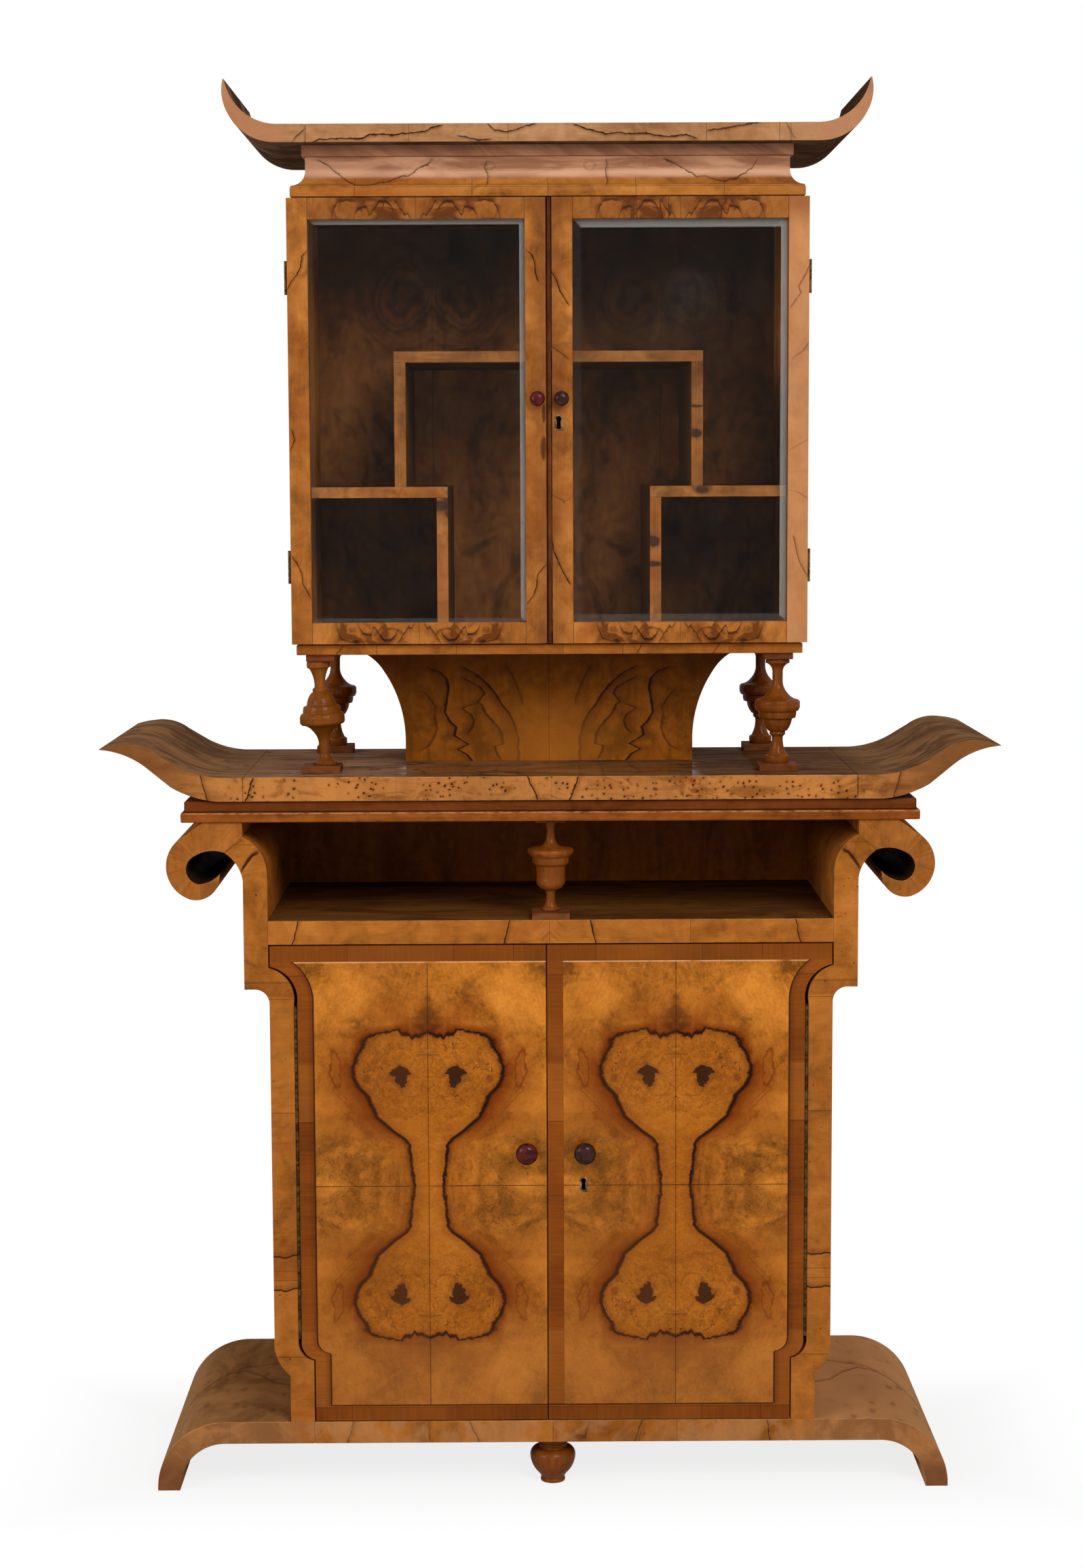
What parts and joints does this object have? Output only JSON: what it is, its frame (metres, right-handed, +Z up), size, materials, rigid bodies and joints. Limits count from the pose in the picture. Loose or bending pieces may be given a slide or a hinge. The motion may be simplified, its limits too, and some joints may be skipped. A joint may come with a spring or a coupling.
{
  "type": "storage cabinet",
  "caption": "Tall walnut storage cabinet with curled feet, burl-veneered doors, an open niche, a table top with up-swept wings, and a glazed case on turned columns under a horned roof",
  "frame": {"origin": "on the floor, under the middle of the overall width and depth", "axes": "+X to the right seen from the front, +Y to the back, +Z up; the doors face -Y"},
  "size_m": [1.344, 0.4508, 2.127],
  "materials": {
    "walnut": "polished walnut",
    "walnut_inside": "dark stained walnut",
    "walnut_burl": "polished burl veneer",
    "knob_wood": "polished dark red wood",
    "brass": "worn brass",
    "steel": "filed steel",
    "glass": "clear, bevelled"
  },
  "bodies": {
    "cabinet": {"foot_board": "walnut", "foot_left": "walnut", "foot_right": "walnut", "centre_foot": "walnut", "side_panel_left": "walnut", "side_panel_right": "walnut", "scroll_left": "walnut", "scroll_right": "walnut", "base_back": "walnut_inside", "niche_shelf": "walnut", "base_shelf": "walnut_inside", "shelf_pins": "brass", "niche_baluster": "walnut", "baluster_plates": "walnut", "moulding_lower": "walnut", "moulding_upper": "walnut", "table_board": "walnut_burl", "table_wing_left": "walnut_burl", "table_wing_right": "walnut_burl", "piano_hinges": "brass", "column_front_left": "walnut", "column_front_right": "walnut", "columns_back": "walnut", "column_plates": "walnut", "pedestal_front": "walnut_burl", "pedestal_back": "walnut_inside", "pedestal_cheeks": "walnut", "case_plinth": "walnut", "case_sides": "walnut", "case_floor": "walnut_inside", "case_top": "walnut_inside", "case_back": "walnut_inside", "side_shelves": "walnut_inside", "case_uprights": "walnut_inside", "bridge_uprights": "walnut_inside", "bridge_shelf": "walnut_inside", "butt_hinges": "brass", "cornice_fillets": "walnut", "cornice_cove": "walnut", "roof_board": "walnut", "roof_horns": "walnut"},
    "lower_left": {"lower_door_left": "walnut_burl", "lower_door_left_hinge": "brass", "lower_knob_left": "knob_wood"},
    "lower_right": {"lower_door_right": "walnut_burl", "lower_door_right_hinge": "brass", "lower_knob_right": "knob_wood", "lower_lock": "brass"},
    "lower_lock_bolt": {"lower_bolt": "steel"},
    "upper_left": {"upper_door_left_frame": "walnut", "upper_glass_left": "glass", "upper_knob_left": "knob_wood", "upper_door_left_hinges": "brass", "astragal": "walnut"},
    "upper_right": {"upper_door_right_frame": "walnut", "upper_glass_right": "glass", "upper_knob_right": "knob_wood", "upper_door_right_hinges": "brass", "upper_lock": "brass"},
    "upper_lock_bolt": {"upper_bolt": "steel"}
  },
  "joints": [
    {"name": "lower_left_swing", "type": "hinge", "parent": "cabinet", "child": "lower_left", "pos_m": [-0.3855, -0.1966, 0.5], "axis": [0, 0, -1], "range_deg": [0, 165]},
    {"name": "lower_right_swing", "type": "hinge", "parent": "cabinet", "child": "lower_right", "pos_m": [0.3855, -0.1966, 0.5], "axis": [0, 0, 1], "range_deg": [0, 165]},
    {"name": "lower_bolt_slide", "type": "slide", "parent": "lower_right", "child": "lower_lock_bolt", "axis": [-1, 0, 0], "range_m": [0, 0.012]},
    {"name": "upper_left_swing", "type": "hinge", "parent": "cabinet", "child": "upper_left", "pos_m": [-0.3892, -0.1404, 1.6], "axis": [0, 0, -1], "range_deg": [0, 165]},
    {"name": "upper_right_swing", "type": "hinge", "parent": "cabinet", "child": "upper_right", "pos_m": [0.3892, -0.1404, 1.6], "axis": [0, 0, 1], "range_deg": [0, 165]},
    {"name": "upper_bolt_slide", "type": "slide", "parent": "upper_right", "child": "upper_lock_bolt", "axis": [-1, 0, 0], "range_m": [0, 0.008]}
  ]
}
